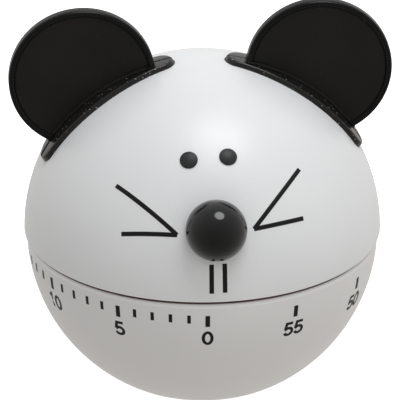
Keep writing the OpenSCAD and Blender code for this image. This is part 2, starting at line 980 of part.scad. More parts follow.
module hammer_head() {
    color("silver") {
        disc(hammer_head_r, hammer_head_z[0], arm_z, head_pos);
        disc(hammer_head_r / 2, arm_z, hammer_head_z[1], head_pos);
    }
}

module trip_lever() {
    color("silver") hammer_lever(second_wheel_z, wheel_h, trip_pos(), trip_tip_r);
}

module cam_lever() {
    color("silver") hammer_lever(cam_z, cam_lever_h, nib_pos, nib_r);
}

base_shell();
bell();
bell_screw();
case_screws();
lower_plate();
upper_plate();
plate_pillars();
pillar_nuts();
arbor_bush();
spring_post();
mainspring();
stop_pin();
hammer_spring();
head_shell();
ear_left();
ear_right();
ear_socket_left();
ear_socket_right();
nose();
eye_left();
eye_right();
main_arbor();
spring_collet();
clutch_seat();
clutch_spring();
clutch_collar();
strike_cam();
stop_arm();
great_wheel();
second_wheel();
second_pinion();
third_wheel();
third_pinion();
escape_wheel();
escape_pinion();
pallet_lever();
pallet_pins();
pallet_arbor();
balance_wheel();
hammer_arbor();
hammer_arm();
hammer_head();
trip_lever();
cam_lever();
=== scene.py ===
"""Looks of the mouse-face kitchen timer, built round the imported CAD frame.

Lengths are in millimetres until a mesh is finished, then in metres. The frame is the CAD model's: the
origin is on the turning axis at the surface the timer stands on, +Z is up and the face looks along -Y.
"""

import json
import math

import bmesh
import bpy
from mathutils import Matrix, Vector, noise
from mathutils.geometry import delaunay_2d_cdt

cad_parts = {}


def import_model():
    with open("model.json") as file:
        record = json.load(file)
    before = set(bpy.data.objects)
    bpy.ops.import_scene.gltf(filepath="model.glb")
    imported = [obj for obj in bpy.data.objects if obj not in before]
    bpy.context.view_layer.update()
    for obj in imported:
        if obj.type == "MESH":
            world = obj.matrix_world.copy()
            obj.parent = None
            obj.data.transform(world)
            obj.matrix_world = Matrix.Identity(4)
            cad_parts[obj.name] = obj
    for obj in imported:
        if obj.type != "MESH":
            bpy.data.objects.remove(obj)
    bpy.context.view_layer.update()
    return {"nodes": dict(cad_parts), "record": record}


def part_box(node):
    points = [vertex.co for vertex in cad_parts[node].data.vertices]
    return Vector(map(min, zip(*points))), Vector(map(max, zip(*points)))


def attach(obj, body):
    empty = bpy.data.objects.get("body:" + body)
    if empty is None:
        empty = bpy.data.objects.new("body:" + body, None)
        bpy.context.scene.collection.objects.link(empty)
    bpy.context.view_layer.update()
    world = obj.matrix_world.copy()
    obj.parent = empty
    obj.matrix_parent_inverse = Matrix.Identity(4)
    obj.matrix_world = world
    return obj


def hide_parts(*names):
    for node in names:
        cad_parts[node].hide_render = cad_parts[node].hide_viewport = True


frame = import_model()

MM = 0.001
head_low, head_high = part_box("head_shell")
base_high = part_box("base_shell")[1]
OVERHANG = 0.5
HEAD_R = round((head_high.x - head_low.x) / 2 / MM, 1)
BASE_R = HEAD_R - OVERHANG
SEAT = round(head_high.z / MM, 1) - HEAD_R
WALL = 2.0
CENTRE = Vector((0, 0, SEAT))
TO_CENTRE = Matrix.Translation(CENTRE)


# ---------------------------------------------------------------- mesh helpers


def arc(cx, cy, r, start, end, steps):
    """Points on an arc, angles in degrees."""
    turn = [math.radians(start + (end - start) * i / steps) for i in range(steps + 1)]
    return [(cx + r * math.cos(a), cy + r * math.sin(a)) for a in turn]


def rings_to_faces(bm, rings, wrap_rings):
    """Joins each ring of vertices to the next; a ring of one vertex is a pole."""
    count = len(rings)
    for i in range(count if wrap_rings else count - 1):
        a, b = rings[i], rings[(i + 1) % count]
        steps = max(len(a), len(b))
        if steps == 1:
            continue
        for j in range(steps):
            k = (j + 1) % steps
            corners = [a[j % len(a)], a[k % len(a)], b[k % len(b)], b[j % len(b)]]
            unique = list(dict.fromkeys(corners))
            if len(unique) > 2:
                bm.faces.new(unique)


def lathe(bm, profile, steps, place=Matrix()):
    """Turns a closed (radius, height) profile about the Z axis of place."""
    rings = []
    for r, z in profile:
        if r < 1e-6:
            rings.append([bm.verts.new(place @ Vector((0, 0, z)))])
            continue
        rings.append([])
        for i in range(steps):
            a = 2 * math.pi * i / steps
            rings[-1].append(bm.verts.new(place @ Vector((r * math.cos(a), r * math.sin(a), z))))
    rings_to_faces(bm, rings, True)


def loft(bm, loops):
    """Joins closed loops of points into a solid with flat ends."""
    rings = [[bm.verts.new(p) for p in loop] for loop in loops]
    rings_to_faces(bm, rings, False)
    bm.faces.new(list(reversed(rings[0])))
    bm.faces.new(rings[-1])


def solid(name, bm):
    """A mesh object from a bmesh in millimetres, facing outwards."""
    bmesh.ops.recalc_face_normals(bm, faces=bm.faces)
    bmesh.ops.scale(bm, vec=(MM, MM, MM), verts=bm.verts)
    mesh = bpy.data.meshes.new(name)
    bm.to_mesh(mesh)
    bm.free()
    obj = bpy.data.objects.new(name, mesh)
    bpy.context.scene.collection.objects.link(obj)
    return obj


def combine(obj, other, operation):
    """Applies one exact Boolean and removes the other object."""
    modifier = obj.modifiers.new("cut", "BOOLEAN")
    modifier.operation, modifier.solver, modifier.object = operation, "EXACT", other
    made = bpy.data.meshes.new_from_object(obj.evaluated_get(bpy.context.evaluated_depsgraph_get()))
    obj.modifiers.clear()
    obj.data = made
    bpy.data.objects.remove(other)
    return obj


def finish_piece(obj, material, body, stands_for=(), sharp=32, second=None, is_second=None):
    """Smooth shading, materials, body and CAD node of a finished piece."""
    mesh = obj.data
    mesh.materials.clear()
    mesh.materials.append(material)
    chosen = [0] * len(mesh.polygons)
    if second:
        mesh.materials.append(second)
        chosen = [int(is_second(face.center / MM)) for face in mesh.polygons]
    mesh.polygons.foreach_set("use_smooth", [True] * len(mesh.polygons))
    mesh.polygons.foreach_set("material_index", chosen)
    mesh.set_sharp_from_angle(angle=math.radians(sharp))
    mesh.update()
    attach(obj, body)
    if stands_for:
        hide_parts(*stands_for)
    return obj


# ---------------------------------------------------------------- materials


class Nodes:
    """A node tree under construction; each call adds one linked node."""

    def __init__(self, name):
        self.material = bpy.data.materials.new(name)
        self.material.use_nodes = True
        self.tree = self.material.node_tree
        self.shader = self.tree.nodes["Principled BSDF"]
        self.place = self.add("ShaderNodeTexCoord").outputs["Object"]

    def add(self, kind, **values):
        node = self.tree.nodes.new(kind)
        for key, value in values.items():
            setattr(node, key, value)
        return node

    def link(self, source, target):
        self.tree.links.new(source, target)

    def noise(self, scale, detail=2.0, roughness=0.5, stretch=None):
        """Noise with features of about 1 / scale metres."""
        node = self.add("ShaderNodeTexNoise")
        node.inputs["Scale"].default_value = scale
        node.inputs["Detail"].default_value = detail
        node.inputs["Roughness"].default_value = roughness
        source = self.place
        if stretch:
            mapping = self.add("ShaderNodeMapping")
            mapping.inputs["Scale"].default_value = stretch
            self.link(source, mapping.inputs["Vector"])
            source = mapping.outputs["Vector"]
        self.link(source, node.inputs["Vector"])
        return node.outputs["Fac"]

    def spread(self, source, low, high, to_low, to_high):
        """Maps a range of one value onto another, clamped."""
        node = self.add("ShaderNodeMapRange")
        for key, value in zip(("From Min", "From Max", "To Min", "To Max"), (low, high, to_low, to_high)):
            node.inputs[key].default_value = value
        self.link(source, node.inputs["Value"])
        return node.outputs["Result"]

    def mix(self, factor, a, b):
        """Mixes two colours, each a colour or a socket."""
        node = self.add("ShaderNodeMix", data_type="RGBA")
        self.link(factor, node.inputs[0])
        for socket, value in ((node.inputs[6], a), (node.inputs[7], b)):
            if isinstance(value, tuple):
                socket.default_value = (*value, 1)
            else:
                self.link(value, socket)
        return node.outputs[2]

    def bump(self, source, distance, strength=1.0, below=None):
        node = self.add("ShaderNodeBump")
        node.inputs["Strength"].default_value = strength
        node.inputs["Distance"].default_value = distance
        self.link(source, node.inputs["Height"])
        if below is not None:
            self.link(below, node.inputs["Normal"])
        return node.outputs["Normal"]

    def set(self, **values):
        """Sets shader sockets; a name's underscores stand for spaces."""
        for key, value in values.items():
            socket = self.shader.inputs[key.replace("_", " ")]
            if isinstance(value, bpy.types.NodeSocket):
                self.link(value, socket)
            else:
                socket.default_value = value


# Noise scales in features per metre, and the colour and patch edge of the dust
CLOUD_SCALE, GLOSS_SCALE, DUST_SCALE, SPECK_SCALE = 55, 160, 240, 1150
DUST_TINT, DUST_EDGE = (0.35, 0.34, 0.32), 0.12
GLOW_RADIUS, GLOW_DEPTH = (1.0, 0.9, 0.8), 0.0012


def plastic(
    name, light, dark, rough, grain, grain_depth,
    dust=0.0, dust_area=0.62, coat=0.0, subsurface=0.0, shine=0.5, painted_light_bands=(),
):
    """Moulded plastic: faint cloudiness, uneven gloss, fine texture and a little dust.

    Each band of painted light is (height where the tint starts, height where it is full, colour), in
    millimetres; it lays painted highlight or painted shade over the plastic by height.
    """
    n = Nodes(name)
    cloud = n.noise(CLOUD_SCALE, 3)
    fine = n.noise(grain, 3, 0.6)
    colour = n.mix(n.spread(cloud, 0.35, 0.65, 0, 1), dark, light)
    if dust:
        specks = n.add("ShaderNodeTexVoronoi")
        specks.inputs["Scale"].default_value = SPECK_SCALE
        specks.inputs["Randomness"].default_value = 1
        n.link(n.place, specks.inputs["Vector"])
        spot = n.spread(specks.outputs["Distance"], 0.06, 0.20, 1, 0)
        patchy = n.spread(n.noise(DUST_SCALE, 4, 0.7), dust_area, dust_area + DUST_EDGE, 0, dust)
        both = n.add("ShaderNodeMath", operation="MULTIPLY")
        n.link(spot, both.inputs[0])
        n.link(patchy, both.inputs[1])
        colour = n.mix(both.outputs[0], colour, DUST_TINT)
    # Bands by height of painted highlight and painted shade
    if painted_light_bands:
        split = n.add("ShaderNodeSeparateXYZ")
        n.link(n.place, split.inputs[0])
        for start, full, tint in painted_light_bands:
            colour = n.mix(n.spread(split.outputs["Z"], start * MM, full * MM, 0, 1), colour, tint)
    n.set(
        Base_Color=colour,
        Roughness=n.spread(n.noise(GLOSS_SCALE, 4), 0.3, 0.7, rough - 0.03, rough + 0.04),
        Normal=n.bump(fine, grain_depth * MM),
        Coat_Weight=coat,
        Subsurface_Weight=subsurface,
        Specular_IOR_Level=shine,
    )
    if subsurface:
        n.shader.inputs["Subsurface Radius"].default_value = GLOW_RADIUS
        n.shader.inputs["Subsurface Scale"].default_value = GLOW_DEPTH
    return n.material


def metal(name, light, dark, rough, stretch=(1, 1, 1), streak=900, depth=0.004):
    """Metal with a brushed or rolled grain and slight tarnish."""
    n = Nodes(name)
    grain = n.noise(streak, 4, 0.6, stretch)
    tarnish = n.spread(n.noise(180, 3), 0.4, 0.7, 0, 1)
    n.set(
        Base_Color=n.mix(tarnish, light, dark),
        Metallic=1.0,
        Roughness=n.spread(grain, 0.3, 0.7, rough - 0.06, rough + 0.1),
        Normal=n.bump(grain, depth * MM),
    )
    return n.material


# Painted light: the head's lower edge and the base's rounded rim are painted paler as painted highlights,
# and the edges at the seam are painted brown-dark as painted shade in the gap
SEAM_SHADE = (0.17, 0.115, 0.105)
head_white = plastic(
    "head_plastic", (0.785, 0.79, 0.795), (0.77, 0.775, 0.78), 0.33, 900, 0.004, subsurface=0.08,
    # Painted highlight on the head's rounded lower edge, then painted shade along its bottom at the seam
    painted_light_bands=((30.35, 30.05, (0.92, 0.92, 0.915)), (29.94, 29.91, SEAM_SHADE)),
)
base_white = plastic(
    "base_plastic", (0.785, 0.775, 0.76), (0.77, 0.76, 0.745), 0.36, 900, 0.004, subsurface=0.08,
    # Painted highlight on the base's rounded rim, then painted shade on its top under the head's edge
    painted_light_bands=((28.2, 28.8, (0.90, 0.90, 0.90)), (29.12, 29.26, SEAM_SHADE)),
)
ear_black = plastic(
    "ear_plastic", (0.0145, 0.0134, 0.0128), (0.0115, 0.0106, 0.0102), 0.46, 2600, 0.008,
    dust=0.12, dust_area=0.56, shine=0.14,
)
rim_black = plastic(
    "ear_rim_plastic", (0.006, 0.0056, 0.0053), (0.004, 0.0037, 0.0035), 0.26, 1600, 0.006, shine=0.2
)
socket_black = plastic(
    "socket_plastic", (0.013, 0.012, 0.0115), (0.007, 0.0066, 0.0063), 0.24, 2200, 0.010,
    dust=0.8, dust_area=0.38,
)
eye_dark = plastic(
    "eye_plastic", (0.024, 0.024, 0.025), (0.018, 0.018, 0.019), 0.42, 3000, 0.008, shine=0.3
)
nose_black = plastic(
    "nose_plastic", (0.0065, 0.0062, 0.006), (0.0045, 0.0043, 0.0042), 0.125, 500, 0.002,
    coat=0.15, shine=0.4,
)
ink_black = plastic(
    "print_ink", (0.010, 0.0092, 0.009), (0.006, 0.0056, 0.0055), 0.48, 4200, 0.004, shine=0.25
)
cad_looks = {
    "brass": metal("brass_sheet", (0.80, 0.60, 0.27), (0.62, 0.43, 0.17), 0.30, (1, 14, 1)),
    "steel": metal("turned_steel", (0.62, 0.62, 0.63), (0.45, 0.45, 0.46), 0.28, (1, 1, 14)),
    "spring_steel": metal("blued_steel", (0.20, 0.24, 0.34), (0.12, 0.14, 0.20), 0.26, (1, 1, 20)),
    "bell_steel": metal(
        "nickel_plate", (0.78, 0.77, 0.75), (0.68, 0.67, 0.65), 0.12, (1, 1, 6), streak=500, depth=0.002
    ),
}


# ---------------------------------------------------------------- the two shells


def sphere_line(r, z_from, z_to, steps):
    """(radius, height) points along a ball about the seat height."""
    low, high = math.asin((z_from - SEAT) / r), math.asin((z_to - SEAT) / r)
    turns = [low + (high - low) * i / steps for i in range(steps + 1)]
    return [(r * math.cos(t), SEAT + r * math.sin(t)) for t in turns]


def edge_arc(r, plane_z, radius, above, steps=8):
    """The rounded edge where a ball meets a flat plane, from the plane to the ball."""
    zc = plane_z + (radius if above else -radius)
    rho = math.sqrt((r - radius) ** 2 - (zc - SEAT) ** 2)
    end = math.degrees(math.atan2(zc - SEAT, rho))
    return arc(rho, zc, radius, -90 if above else 90, end, steps)


SHELL_STEPS = 288
SEAM_HEAD_Z = SEAT - 0.1
SEAM_BASE_Z = SEAM_HEAD_Z - 0.5
LIP_R = HEAD_R - WALL - 0.4
LIP_TOP_Z = round(base_high.z / MM, 1)
LIP_T, LIP_LOW_Z, LIP_EDGE = 1.2, 26, 0.2
HEAD_RIM_ROUND, BASE_RIM_ROUND, FOOT_ROUND = 0.4, 1, 3
FLOOR_T, FLOOR_FLAT_R = 2.4, 8
CUT_LOW, CUT_HIGH = 25, 42

# Hub and ribs in the head, and the bosses in the base that take the case screws and the bell's screw
HUB_R, HUB_BORE_R, HUB_LOW_Z, HUB_BORE_Z = 3.6, 2.02, 30.5, 44.5
RIB_HALF_T, RIB_ROOT, RIB_REACH, RIB_LOW_Z = 0.6, 3.5, 16, 50
BOSS_TURNS, BOSS_REACH, BOSS_R, BOSS_BORE_R = (25, 160, 275), 24, 2.8, 0.97
BOSS_LOW_Z, BOSS_BORE_Z, BOSS_TOP_Z = 2, 8.5, 12
BELL_BOSS_R, BELL_BORE_R = 3.2, 1.22
BELL_BOSS_LOW_Z, BELL_BORE_Z, BELL_BOSS_TOP_Z = 1.2, 2.5, 4.2
EYE_HOLE_R, NOSE_HOLE_R = 0.95, 2.05

# The ears' own frames: +Z out of the ball through the ear, X along its root
EAR_LEAN, EAR_SKEW, EAR_REACH = 35.1, -0.6, 40.1
EAR_R, EAR_T, EAR_WEB_T = 14.3, 2.6, 1.8
LEAF_TOE = 6
LEAF_HALF, LEAF_W, LEAF_TOP = 16.0, 9.0, HEAD_R + 1.0
LEAF_SIDE_R, LEAF_TIP_R = 61.0, 3.2
LEAF_END = LEAF_HALF - LEAF_TIP_R
SLIT_EDGE = 0.14
TONGUE_HALF = 11.0
EAR_RIM_W = 1.75
EAR_FILLET, EAR_CREST = 0.22, 0.62
EAR_SEAT_R = LEAF_TOP + 0.02


def ear_frame(side):
    return TO_CENTRE @ Matrix.Rotation(math.radians(side * EAR_LEAN + EAR_SKEW), 4, "Y")


def leaf_frame(side):
    """The socket's own frame: the ear's, with X along the leaf."""
    return ear_frame(side) @ Matrix.Rotation(math.radians(-side * LEAF_TOE), 4, "Z")


def face_frame(turn, tilt):
    """+Z out of the ball through a point of the face, angles in degrees."""
    return (
        TO_CENTRE
        @ Matrix.Rotation(math.radians(turn), 4, "Z")
        @ Matrix.Rotation(math.radians(90 - tilt), 4, "X")
    )


def leaf_outline(grow):
    """The socket's outline, grown outwards: two long side arcs that meet round ends."""
    side_r, tip_r = LEAF_SIDE_R + grow, LEAF_TIP_R + grow
    drop = LEAF_SIDE_R - LEAF_W / 2
    far = math.hypot(LEAF_END, drop)
    opening = math.degrees(math.acos((tip_r**2 + far**2 - side_r**2) / (2 * tip_r * far)))
    meet = opening + math.degrees(math.atan2(-drop, -LEAF_END))
    x, y = LEAF_END + tip_r * math.cos(math.radians(meet)), tip_r * math.sin(math.radians(meet))
    lean = math.degrees(math.atan2(y + drop, x))
    return (
        arc(LEAF_END, 0, tip_r, -meet, meet, 16)[:-1]
        + arc(0, -drop, side_r, lean, 180 - lean, 36)[:-1]
        + arc(-LEAF_END, 0, tip_r, 180 - meet, 180 + meet, 16)[:-1]
        + arc(0, drop, side_r, 180 + lean, 360 - lean, 36)[:-1]
    )


def plain_cylinder(bm, r, z0, z1, place, steps):
    lathe(bm, [(0, z0), (r, z0), (r, z1), (0, z1)], steps, place)


def head_shell():
    """The dome, cut for the two sockets and for the stems of the eyes and nose."""
    outer = edge_arc(HEAD_R, SEAM_HEAD_Z, HEAD_RIM_ROUND, True)
    inner_r = HEAD_R - WALL
    profile = (
        outer[:-1]
        + sphere_line(HEAD_R, outer[-1][1], SEAT + HEAD_R, 84)[:-1]
        + [(0, SEAT + HEAD_R), (0, SEAT + inner_r)]
        + list(reversed(sphere_line(inner_r, SEAM_HEAD_Z + 0.15, SEAT + inner_r, 60)))[1:]
        + [(math.sqrt(inner_r**2 - 0.01) + 0.15, SEAM_HEAD_Z)]
    )
    bm = bmesh.new()
    lathe(bm, profile, SHELL_STEPS)
    shell = solid("head_skin", bm)
    for side in (-1, 1):
        bm = bmesh.new()
        place = leaf_frame(side)
        loft(bm, [[place @ Vector((x, y, z)) for x, y in leaf_outline(0.05)] for z in (CUT_LOW, CUT_HIGH)])
        combine(shell, solid("cutter", bm), "DIFFERENCE")
    for place, r in ((eye_frame(-1), EYE_HOLE_R), (eye_frame(1), EYE_HOLE_R), (nose_frame(), NOSE_HOLE_R)):
        bm = bmesh.new()
        plain_cylinder(bm, r, CUT_LOW, CUT_HIGH, place, 48)
        combine(shell, solid("cutter", bm), "DIFFERENCE")
    return shell


def head_boss():
    """The hub and ribs inside the head that take the main arbor."""
    bm = bmesh.new()
    top = SEAT + HEAD_R - WALL - 0.05
    outside = [(HUB_BORE_R, HUB_LOW_Z), (HUB_R, HUB_LOW_Z), (HUB_R, top)]
    lathe(bm, outside + [(0, top), (0, HUB_BORE_Z), (HUB_BORE_R, HUB_BORE_Z)], 64)
    for turn in (90, 270):
        place = Matrix.Rotation(math.radians(turn), 4, "Z")
        loops = []
        for y in (-RIB_HALF_T, RIB_HALF_T):
            under = [(RIB_ROOT, RIB_LOW_Z), (RIB_REACH, RIB_LOW_Z)]
            roof_r = HEAD_R - WALL - 0.05
            roof = [(x, SEAT + math.sqrt(roof_r**2 - x * x)) for x in range(RIB_REACH, 2, -1)]
            loops.append([place @ Vector((x, y, z)) for x, z in under + roof])
        loft(bm, loops)
    return solid("head_hub", bm)


def base_shell():
    """The bowl with its flat foot, rounded rim and the lip that centres the head."""
    foot = edge_arc(BASE_R, 0, FOOT_ROUND, True, 14)
    rim = list(reversed(edge_arc(BASE_R, SEAM_BASE_Z, BASE_RIM_ROUND, False, 12)))
    lip_in_r, lip_shoulder_z = LIP_R - LIP_T, LIP_TOP_Z - LIP_EDGE
    inner_r = BASE_R - WALL
    profile = (
        [(0, 0), (FLOOR_FLAT_R, 0)]
        + foot[:-1]
        + sphere_line(BASE_R, foot[-1][1], rim[0][1], 64)
        + rim[1:]
        + [(LIP_R, SEAM_BASE_Z), (LIP_R, lip_shoulder_z), (LIP_R - LIP_EDGE, LIP_TOP_Z)]
        + [(lip_in_r + LIP_EDGE, LIP_TOP_Z), (lip_in_r, lip_shoulder_z), (lip_in_r, LIP_LOW_Z)]
        + list(reversed(sphere_line(inner_r, FLOOR_T, LIP_LOW_Z, 40)))
        + [(0, FLOOR_T)]
    )
    bm = bmesh.new()
    lathe(bm, profile, SHELL_STEPS)
    shell = solid("base_skin", bm)

    # Screw bosses rise from the inside of the ball, and the bell's boss from the floor
    bm = bmesh.new()
    outside = [(0, BOSS_LOW_Z), (BOSS_R, BOSS_LOW_Z), (BOSS_R, BOSS_TOP_Z)]
    bore = [(BOSS_BORE_R, BOSS_TOP_Z), (BOSS_BORE_R, BOSS_BORE_Z), (0, BOSS_BORE_Z)]
    for turn in BOSS_TURNS:
        place = Matrix.Rotation(math.radians(turn), 4, "Z") @ Matrix.Translation((BOSS_REACH, 0, 0))
        lathe(bm, outside + bore, 40, place)
    bosses = solid("bosses", bm)
    bm = bmesh.new()
    ball = sphere_line(BASE_R - 1, SEAT - BASE_R + 1.02, 20, 40)
    lathe(bm, [(0, SEAT - BASE_R + 1)] + ball + [(0, 20)], 96)
    combine(bosses, solid("ball", bm), "INTERSECT")
    combine(shell, bosses, "UNION")
    bm = bmesh.new()
    outside = [(0, BELL_BOSS_LOW_Z), (BELL_BOSS_R, BELL_BOSS_LOW_Z), (BELL_BOSS_R, BELL_BOSS_TOP_Z)]
    bore = [(BELL_BORE_R, BELL_BOSS_TOP_Z), (BELL_BORE_R, BELL_BORE_Z), (0, BELL_BORE_Z)]
    lathe(bm, outside + bore, 40)
    return combine(shell, solid("boss", bm), "UNION")


# ---------------------------------------------------------------- ears and their sockets


def ear_disc_profile():
    """(radius, thickness) from one face's centre round the rim to the other's."""
    web, edge = EAR_WEB_T / 2, EAR_T / 2
    fillet = arc(EAR_R - 1.5, web + EAR_FILLET, EAR_FILLET, -90, -15, 5)
    face = [(0, web), (4, web), (8, web), (11, web)] + fillet
    crest = arc(EAR_R - EAR_CREST, edge - EAR_CREST, EAR_CREST, 150, 0, 14)
    half = face + crest
    return half + [(r, -y) for r, y in reversed(half)]


def ear(side):
    """A disc with a raised rim, hollowed to sit on its socket, with a collar and a tongue."""
    place = ear_frame(side)
    stand = place @ Matrix.Translation((0, 0, EAR_REACH)) @ Matrix.Rotation(math.radians(90), 4, "X")
    bm = bmesh.new()
    lathe(bm, ear_disc_profile(), 200, stand)
    disc = solid("ear_left_disc" if side < 0 else "ear_right_disc", bm)

    # The ball that hollows the ear's root, so that it sits on the socket
    turns = [math.radians(-90 + 180 * i / 120) for i in range(1, 120)]
    side_line = [(EAR_SEAT_R * math.cos(a), EAR_SEAT_R * math.sin(a)) for a in turns]
    bm = bmesh.new()
    lathe(bm, [(0, -EAR_SEAT_R)] + side_line + [(0, EAR_SEAT_R)], 240, place)
    combine(disc, solid("cutter", bm), "DIFFERENCE")

    # A low collar, slightly uneven, that stops the ear on the socket
    half_t, height, corner = 1.55, 0.4, 0.16
    section = (
        [(-half_t, 0), (half_t, 0)]
        + arc(half_t - corner, height - corner, corner, 0, 90, 4)
        + arc(-half_t + corner, height - corner, corner, 90, 180, 4)
    )
    loops, stations = [], 120
    for i in range(stations + 1):
        t = 2 * i / stations - 1
        loop = []
        for y, h in section:
            r = EAR_SEAT_R + h
            end = math.acos((r * r + EAR_REACH**2 - (EAR_R - 0.12) ** 2) / (2 * r * EAR_REACH))
            p = Vector((r * math.sin(t * end), y, r * math.cos(t * end)))
            if h > 0:
                away = p + Vector((side * 40, 0, 0))
                swell = noise.noise(away * 0.9) * 0.06 + noise.noise(away * 2.6) * 0.04
                p.y += swell * (1 if y > 0 else -1)
                p.z += noise.noise(away * 1.4 + Vector((9, 9, 9))) * 0.06
            loop.append(place @ p)
        loops.append(loop)
    bm = bmesh.new()
    loft(bm, loops)
    combine(disc, solid("collar", bm), "UNION")

    # The tongue that goes down through the socket; its top follows the socket's
    top_r, low_r, steps = EAR_SEAT_R + 0.2, 29.5, 44
    loops = []
    for i in range(steps + 1):
        x = TONGUE_HALF * (2 * i / steps - 1)
        low = low_r + 0.4 * max(0, abs(x) - TONGUE_HALF + 0.5)
        top = math.sqrt(top_r * top_r - x * x)
        section = ((-1, low), (1, low), (1.3, low + 0.4), (1.3, top), (-1.3, top), (-1.3, low + 0.4))
        loops.append([place @ Vector((x, y, z)) for y, z in section])
    bm = bmesh.new()
    loft(bm, loops)
    return combine(disc, solid("tongue", bm), "UNION")


def ear_socket(side):
    """A leaf-shaped insert that stands proud of the head, slotted for the ear and slit along its middle."""
    place = leaf_frame(side)
    inner = HEAD_R - WALL - 0.05
    low = HEAD_R - WALL - 1.4
    edge = 0.28

    def ring(outline, r):
        return [bm.verts.new(place @ Vector((x, y, math.sqrt(r * r - x * x - y * y)))) for x, y in outline]

    def shrunk(outline, k):
        return [(x * k, y * k) for x, y in outline]

    plain, grown = leaf_outline(0), leaf_outline(1.2)
    flange = [g if abs(g[0]) <= 12 else p for p, g in zip(plain, grown)]
    bm = bmesh.new()
    rings = [[bm.verts.new(place @ Vector((0, 0, low)))]]
    rings += [ring(shrunk(plain, k), low) for k in (0.3, 0.6, 0.9)]
    rings += [ring(flange, low), ring(flange, inner), ring(plain, inner), ring(plain, LEAF_TOP - edge)]
    for i in range(1, 6):
        t = math.radians(90 * i / 5)
        inset, height = edge * (1 - math.cos(t)), edge * math.sin(t)
        rings.append(ring(leaf_outline(-inset), LEAF_TOP - edge + height))
    rings += [ring(shrunk(leaf_outline(-edge), k), LEAF_TOP) for k in (0.93, 0.8, 0.6, 0.4, 0.2)]
    rings.append([bm.verts.new(place @ Vector((0, 0, LEAF_TOP)))])
    rings_to_faces(bm, rings, False)
    leaf = solid("ear_socket_left_leaf" if side < 0 else "ear_socket_right_leaf", bm)

    bm = bmesh.new()
    reach, half = TONGUE_HALF + 0.02, EAR_T / 2 + 0.02
    corners = ((-reach, -half), (reach, -half), (reach, half), (-reach, half))
    loft(bm, [[ear_frame(side) @ Vector((x, y, z)) for x, y in corners] for z in (27, 40)])
    combine(leaf, solid("slot", bm), "DIFFERENCE")

    bm = bmesh.new()
    loops, steps = [], 48
    for i in range(steps + 1):
        x = (LEAF_HALF + 0.8) * (2 * i / steps - 1)
        half = 0.24 + 0.16 * max(0, side * x / LEAF_HALF)
        section = [(-half, LEAF_TOP - 1), (half, LEAF_TOP - 1), (half, LEAF_TOP - SLIT_EDGE)]
        section += [(half + SLIT_EDGE, LEAF_TOP + 0.02), (half + SLIT_EDGE, LEAF_TOP + 2)]
        section += [(-y, r) for y, r in reversed(section[2:])]
        loops.append([place @ Vector((x, y, math.sqrt(r * r - x * x - y * y))) for y, r in section])
    loft(bm, loops)
    return combine(leaf, solid("slit", bm), "DIFFERENCE")


# ---------------------------------------------------------------- nose and eyes

NOSE_R, NOSE_SHIFT, NOSE_TILT, NOSE_REACH = 5.9, -0.4, 23.3, 36.6
EYE_R, EYE_TURN, EYE_SHIFT, EYE_TILT, EYE_RISE = 1.725, 8.9, -2.1, 46, 0.4
EYE_PROUD, EYE_DOME_R, EYE_CROWN_R = 0.6, 5.0, 1.45
NOSE_STEM_R, NOSE_STEM_LOW = 2, 31.0
EYE_STEM_R, EYE_STEM_LOW = 0.9, 32.4


def nose_frame():
    return face_frame(NOSE_SHIFT, NOSE_TILT)


def eye_frame(side):
    return face_frame(EYE_SHIFT + side * EYE_TURN, EYE_TILT + side * EYE_RISE)


def nose():
    """A ball that meets the head, on a stem; heights run outwards from the ball's centre."""
    seat = HEAD_R + 0.05
    meet = (NOSE_REACH**2 + seat**2 - NOSE_R**2) / (2 * NOSE_REACH)
    start = math.degrees(math.asin((meet - NOSE_REACH) / NOSE_R))
    ball = arc(0, NOSE_REACH, NOSE_R, start, 90, 96)
    ball[-1] = (0, ball[-1][1])
    rim = math.sqrt(seat**2 - meet**2)
    widths = [NOSE_STEM_R + (rim - NOSE_STEM_R) * i / 12 for i in range(12)]
    hollow = [(r, math.sqrt(seat**2 - r**2)) for r in widths]
    stem = [(0, NOSE_STEM_LOW), (NOSE_STEM_R - 0.2, NOSE_STEM_LOW), (NOSE_STEM_R, NOSE_STEM_LOW + 0.2)]
    profile = stem + hollow + ball
    bm = bmesh.new()
    lathe(bm, profile, 192, nose_frame())
    return solid("nose_ball", bm)


def eye(side):
    """A low domed stud on a stem."""
    seat = HEAD_R + 0.05
    top = HEAD_R + EYE_PROUD
    edge = math.sqrt(seat**2 - EYE_R**2)
    widths = [EYE_CROWN_R * (1 - i / 14) for i in range(15)]
    crown = [(r, top - EYE_DOME_R + math.sqrt(EYE_DOME_R**2 - r * r)) for r in widths]
    crown[-1] = (0, top)
    shoulder = [(EYE_R, edge + 0.12), (EYE_R - 0.04, edge + 0.21), (EYE_R - 0.13, crown[0][1] - 0.04)]
    stem = [(0, EYE_STEM_LOW), (EYE_STEM_R - 0.1, EYE_STEM_LOW), (EYE_STEM_R, EYE_STEM_LOW + 0.1)]
    under = [(EYE_STEM_R, math.sqrt(seat**2 - EYE_STEM_R**2)), (EYE_R, edge)]
    bm = bmesh.new()
    lathe(bm, stem + under + shoulder + crown, 96, eye_frame(side))
    return solid("eye_left_stud" if side < 0 else "eye_right_stud", bm)


# ---------------------------------------------------------------- printed marks

INK_PROUD, INK_SUNK = 0.02, -0.02
STEP = 0.35


def direction(azimuth, z, r):
    """Unit vector from the ball's centre to a point at height z on a ball of radius r."""
    up = (z - SEAT) / r
    flat = math.sqrt(1 - up * up)
    a = math.radians(azimuth)
    return Vector((flat * math.cos(a), flat * math.sin(a), up))


def strip(a, b, width, bow=0.0):
    """A flat line from a to b with square ends, as one polygon; bow lifts its middle to the left."""
    a, b = Vector(a), Vector(b)
    along = (b - a).normalized()
    left = Vector((-along.y, along.x))
    count = max(1, round((b - a).length / STEP))
    steps = [i / count for i in range(count + 1)]
    line = [a + (b - a) * t + left * bow * 4 * t * (1 - t) for t in steps]
    return [p - left * width / 2 for p in line] + [p + left * width / 2 for p in reversed(line)]


